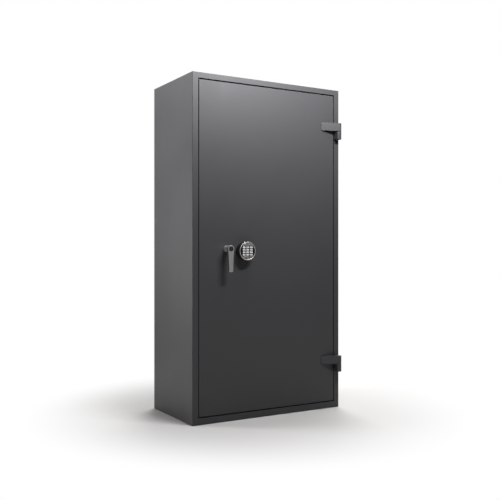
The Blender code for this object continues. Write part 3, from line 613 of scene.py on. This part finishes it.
def keypad_housing():
    """The round case, black on its side and round its front edge as painted shade and dark
    reflection, and the thick bright rim let into its front, inside that black edge.
    """
    at, front, rear = keypad_middle()
    low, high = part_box("keypad_housing")
    radius = (high.x - low.x) / 2
    rim, roll, painted_shade_edge = radius - 0.0055, 0.0030, 0.0014
    ledge, ledge_front, ledge_back = 0.0025, front + 0.0053, front + 0.0090
    wall, wall_front = rim + 0.0015, front + 0.0130
    profile = [(radius, rear), (radius, front + roll + HAIR)]
    profile += arc(radius - roll, front + roll, roll, 0, -90, 8)
    profile += [(rim + 0.0016, front), (rim + 0.0006, front + 0.0006), (rim, front + 0.0020)]
    profile += [(rim, ledge_front), (rim - ledge, ledge_front), (rim - ledge, ledge_back)]
    profile += [(wall, wall_front), (wall, rear)]
    case = piece_of(
        "keypad_housing_finished", turned_mesh(profile, at, "Y", 128), NICKEL_ROUND, "door", 40
    )
    case.data.materials.append(BLACK_PLASTIC)
    # The side wall and the outermost band of the front take the black plastic: painted shade and
    # dark reflection where the satin case turns away from the light.
    for face in case.data.polygons:
        out = math.hypot(face.center.x - at.x, face.center.z - at.z)
        face.material_index = int(face.center.y > front + roll or out > radius - painted_shade_edge)
    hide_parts("keypad_housing")
    refined("keypad_base", BLACK_PLASTIC, width=0.0004)


def keypad_face():
    """The black disc, two raised silver shields on it, the lamp and the two contacts."""
    at, front, _ = keypad_middle()
    refined("keypad_face", BLACK_GLOSS, width=0.00015)
    face_low, face_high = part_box("keypad_face")
    edge_gap, sunk, edge = 0.0006, 0.0007, 0.0011
    chord = 0.0232  # from the keypad's middle to a shield's straight edge
    radius = (face_high.x - face_low.x) / 2 - edge_gap
    back, top = face_low.y - HAIR, front + sunk
    reach = math.degrees(math.asin(chord / radius))
    for name, turn in (("upper", 0), ("lower", 180)):
        outline = arc(0, 0, radius, reach + turn, 180 - reach + turn, 40)
        bm = prism_mesh(outline, top, back, at, "Y")
        shield = piece_of(f"keypad_{name}_shield", bm, NICKEL_SHIELD, "door")
        soften(shield, edge, 4)
    status_lamp(front, face_high.y)
    contacts(at, top)


def status_lamp(front, back):
    """A small red dome in the upper shield."""
    lamp_low, lamp_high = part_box("status_led")
    lamp_at = ((lamp_low.x + lamp_high.x) / 2, 0, (lamp_low.z + lamp_high.z) / 2)
    profile = [(0, front - 0.0003), (0.0008, front - 0.0002), (0.0013, front + 0.0001)]
    profile += [(0.0015, front + 0.0006), (0.0015, back), (0, back)]
    lamp = piece_of("status_led_finished", turned_mesh(profile, lamp_at, "Y", 32), LAMP, "door")
    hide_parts("status_led")


def contacts(at, top):
    """Two round black contacts in the lower shield, each a dish with a raised lip."""
    across, below = 0.0075, 0.0295
    dish, ridge, radius, seat = 0.0018, 0.0023, 0.0033, top + 0.0004
    for name, side in (("left", -1), ("right", 1)):
        spot = at + Vector((side * across, 0, -below))
        profile = [(0, top - 0.0001), (dish, top - 0.0001), (ridge, top - 0.0003)]
        profile += [(radius - 0.0001, top - 0.0002), (radius, seat), (0, seat)]
        contact = piece_of(
            f"keypad_contact_{name}", turned_mesh(profile, spot, "Y", 32), BLACK_PLASTIC, "door"
        )


def key_marks():
    marks = {"key_star": "*", "key_hash": "#"}
    marks.update({f"key_{n}": str(n) for n in range(10)})
    return marks


def keys():
    """Pillow-shaped silicone keys, each with a plain printed sign, their sides black as painted
    shade in the gaps between them.
    """
    corner, pillow = 0.0018, 0.0009
    for node, sign in key_marks().items():
        low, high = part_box(node)
        middle = (low + high) / 2
        half_x, half_z = (high.x - low.x) / 2 - KEY_PLAY, (high.z - low.z) / 2 - KEY_PLAY
        outline = rounded_rectangle(half_x, half_z, corner, 5)
        bm = prism_mesh(outline, low.y, high.y, (middle.x, 0, middle.z), "Y")
        body = NODES[node]["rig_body"]
        key = piece_of(f"{node}_finished", bm, KEY_GREY, body)
        key.data.materials.append(BLACK_PLASTIC)
        # The key's sides take the black plastic: painted shade in the gaps between the keys.
        for face in key.data.polygons:
            face.material_index = int(face.normal.y >= -FACING)
        soften(key, pillow, 4)
        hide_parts(node)
        print_sign(node, sign, Vector((middle.x, low.y, middle.z)), body)


def print_sign(node, sign, at, body):
    """A flat printed sign, as a mesh a hair in front of the key."""
    size, half_depth, lift = 0.0062, 0.00004, 0.00006
    text = bpy.data.curves.new(f"{node}_text", "FONT")
    text.body = sign
    text.size = size
    text.align_x, text.align_y = "CENTER", "CENTER"
    text.extrude = half_depth
    text.resolution_u = 3
    holder = bpy.data.objects.new(f"{node}_text", text)
    mesh = bpy.data.meshes.new_from_object(holder)
    bpy.data.objects.remove(holder)
    bm = bmesh.new()
    bm.from_mesh(mesh)
    for vert in bm.verts:
        x, y, z = vert.co
        vert.co = at + Vector((x, -z - lift, y))
    mark = piece_of(f"{node}_sign", bm, KEY_PRINT, body)


# --- stage -------------------------------------------------------------------------------------

WHITE = (1, 1, 1, 1)
FLOOR_TONE = (0.67, 0.66, 0.64)
FLOOR_RADIUS = 1.7
FLOOR_FADE = (0.35, 1.05)  # metres from the safe's middle
WORLD_COLOUR, WORLD_STRENGTH = (0.95, 0.97, 1.0, 1), 0.05
FLAG_GAP, FLAG_RISE = 0.003, 0.17  # off the cabinet's top and front, and how tall it stands
COOL, NEUTRAL = (0.985, 0.985, 1.02), (1.0, 1.0, 1.0)
OPEN = 180  # degrees of spread: a bare panel, with no grid to narrow its beam
LIGHTS = {
    # name: (place, aimed at, width, height, watts, colour, spread)
    "key": ((0.15, -1.11, 1.90), (0.12, -0.205, 1.80), 0.7, 0.22, 38.5, COOL, OPEN),
    "overhead": ((0.05, -0.85, 3.0), (0.05, -0.45, 0.0), 0.8, 0.5, 18, NEUTRAL, OPEN),
    "left_wall": ((-2.3, 0.9, 0.70), (-0.385, 0.0, 0.95), 0.8, 0.5, 5.8, NEUTRAL, 60),
    "left_low": ((-2.3, 0.9, 0.62), (-0.385, 0.0, 0.60), 0.8, 0.5, 12, NEUTRAL, OPEN),
    "left_top": ((-1.35, 0.60, 2.05), (-0.385, 0.1, 1.55), 0.4, 0.8, 7, COOL, 80),
    "right_wall": ((2.6, 0.9, 1.5), (0.385, 0.0, 0.85), 1.6, 2.2, 35, NEUTRAL, OPEN),
    "rear_fill": ((1.6, 2.6, 2.2), (0.0, 0.2, 0.8), 2.0, 2.0, 110, NEUTRAL, OPEN),
}
CAMERA_AT = (-1.7406, -2.9971, 0.7472)
CAMERA_HEADING, CAMERA_TILT = 30.396, -0.047  # degrees: right of +Y, and up
LENS, SENSOR = 52.807, 36.0  # millimetres


def sweep():
    """Pale paper near the safe that fades with distance into the white behind it."""
    paper = Surface("pale_floor", FLOOR_TONE, 0.9).set(Specular_IOR_Level=0.1)
    tree = paper.tree
    away = paper.node("ShaderNodeVectorMath", Vector=paper.place)
    away.operation = "LENGTH"
    fade = paper.ramped(away.outputs["Value"], 0.0, 1.0, *FLOOR_FADE)
    fade.node.interpolation_type = "SMOOTHSTEP"
    white = paper.node("ShaderNodeEmission", Strength=1.0)
    mix = paper.node("ShaderNodeMixShader", Fac=fade)
    tree.links.new(paper.shader.outputs[0], mix.inputs[1])
    tree.links.new(white.outputs[0], mix.inputs[2])
    tree.links.new(mix.outputs[0], tree.nodes["Material Output"].inputs["Surface"])
    return paper.made


def paper_floor():
    floor_mesh = bpy.data.meshes.new("studio_floor")
    bm = bmesh.new()
    bmesh.ops.create_circle(bm, cap_ends=True, segments=96, radius=FLOOR_RADIUS)
    bm.to_mesh(floor_mesh)
    bm.free()
    floor = bpy.data.objects.new("studio_floor", floor_mesh)
    bpy.context.scene.collection.objects.link(floor)
    floor_mesh.materials.append(sweep())


def surroundings():
    """White to the camera, and a faint cool light to everything else."""
    world = bpy.data.worlds.new("studio")
    bpy.context.scene.world = world
    world.use_nodes = True
    tree = world.node_tree
    backdrop = tree.nodes["Background"]
    backdrop.inputs["Color"].default_value = WHITE
    backdrop.inputs["Strength"].default_value = 1.0
    dim = tree.nodes.new("ShaderNodeBackground")
    dim.inputs["Color"].default_value = WORLD_COLOUR
    dim.inputs["Strength"].default_value = WORLD_STRENGTH
    path = tree.nodes.new("ShaderNodeLightPath")
    mix = tree.nodes.new("ShaderNodeMixShader")
    tree.links.new(path.outputs["Is Camera Ray"], mix.inputs["Fac"])
    tree.links.new(dim.outputs[0], mix.inputs[1])
    tree.links.new(backdrop.outputs[0], mix.inputs[2])
    tree.links.new(mix.outputs[0], tree.nodes["World Output"].inputs["Surface"])


def flag():
    """A black card along the top's front edge, out of sight, that shades the top from the key."""
    left, right, y = SHELL_LOW.x, SHELL_HIGH.x, FRONT + FLAG_GAP
    foot = SHELL_HIGH.z + FLAG_GAP
    top = foot + FLAG_RISE
    bm = bmesh.new()
    corners = ((left, foot), (right, foot), (right, top), (left, top))
    bm.faces.new([bm.verts.new((x, y, z)) for x, z in corners])
    mesh = bpy.data.meshes.new("studio_flag")
    bm.to_mesh(mesh)
    bm.free()
    mesh.materials.append(moulded("flag_black", (0.01, 0.01, 0.01), 0.9))
    card = bpy.data.objects.new("studio_flag", mesh)
    card.visible_camera = False
    bpy.context.scene.collection.objects.link(card)


def light(name, at, aim, width, height, watts, colour, spread):
    """A flat panel that faces the point it is aimed at, unseen by the camera."""
    data = bpy.data.lights.new(name, "AREA")
    data.shape = "RECTANGLE"
    data.size, data.size_y, data.energy, data.color = width, height, watts, colour
    data.spread = math.radians(spread)
    lamp = bpy.data.objects.new(name, data)
    lamp.location = at
    lamp.rotation_mode = "QUATERNION"
    lamp.rotation_quaternion = (Vector(aim) - Vector(at)).to_track_quat("-Z", "Y")
    lamp.visible_camera = False
    bpy.context.scene.collection.objects.link(lamp)


def camera():
    """About 30 degrees left of the door's front, level, at half the safe's height."""
    data = bpy.data.cameras.new("camera")
    data.lens, data.sensor_width = LENS, SENSOR
    eye = bpy.data.objects.new("camera", data)
    eye.location = CAMERA_AT
    eye.rotation_euler = (math.radians(90 + CAMERA_TILT), 0, -math.radians(CAMERA_HEADING))
    bpy.context.scene.collection.objects.link(eye)
    bpy.context.scene.camera = eye


# --- assembly ----------------------------------------------------------------------------------

bpy.context.scene.view_settings.view_transform = "Standard"
camera()
paper_floor()
surroundings()
flag()
for lamp_name, settings in LIGHTS.items():
    light(lamp_name, *settings)
cabinet()
door()
bolt_work()
lever()
keypad_housing()
keypad_face()
keys()
cover_fittings()
anchor_plugs()
shelf_edge()
bracket_screws()
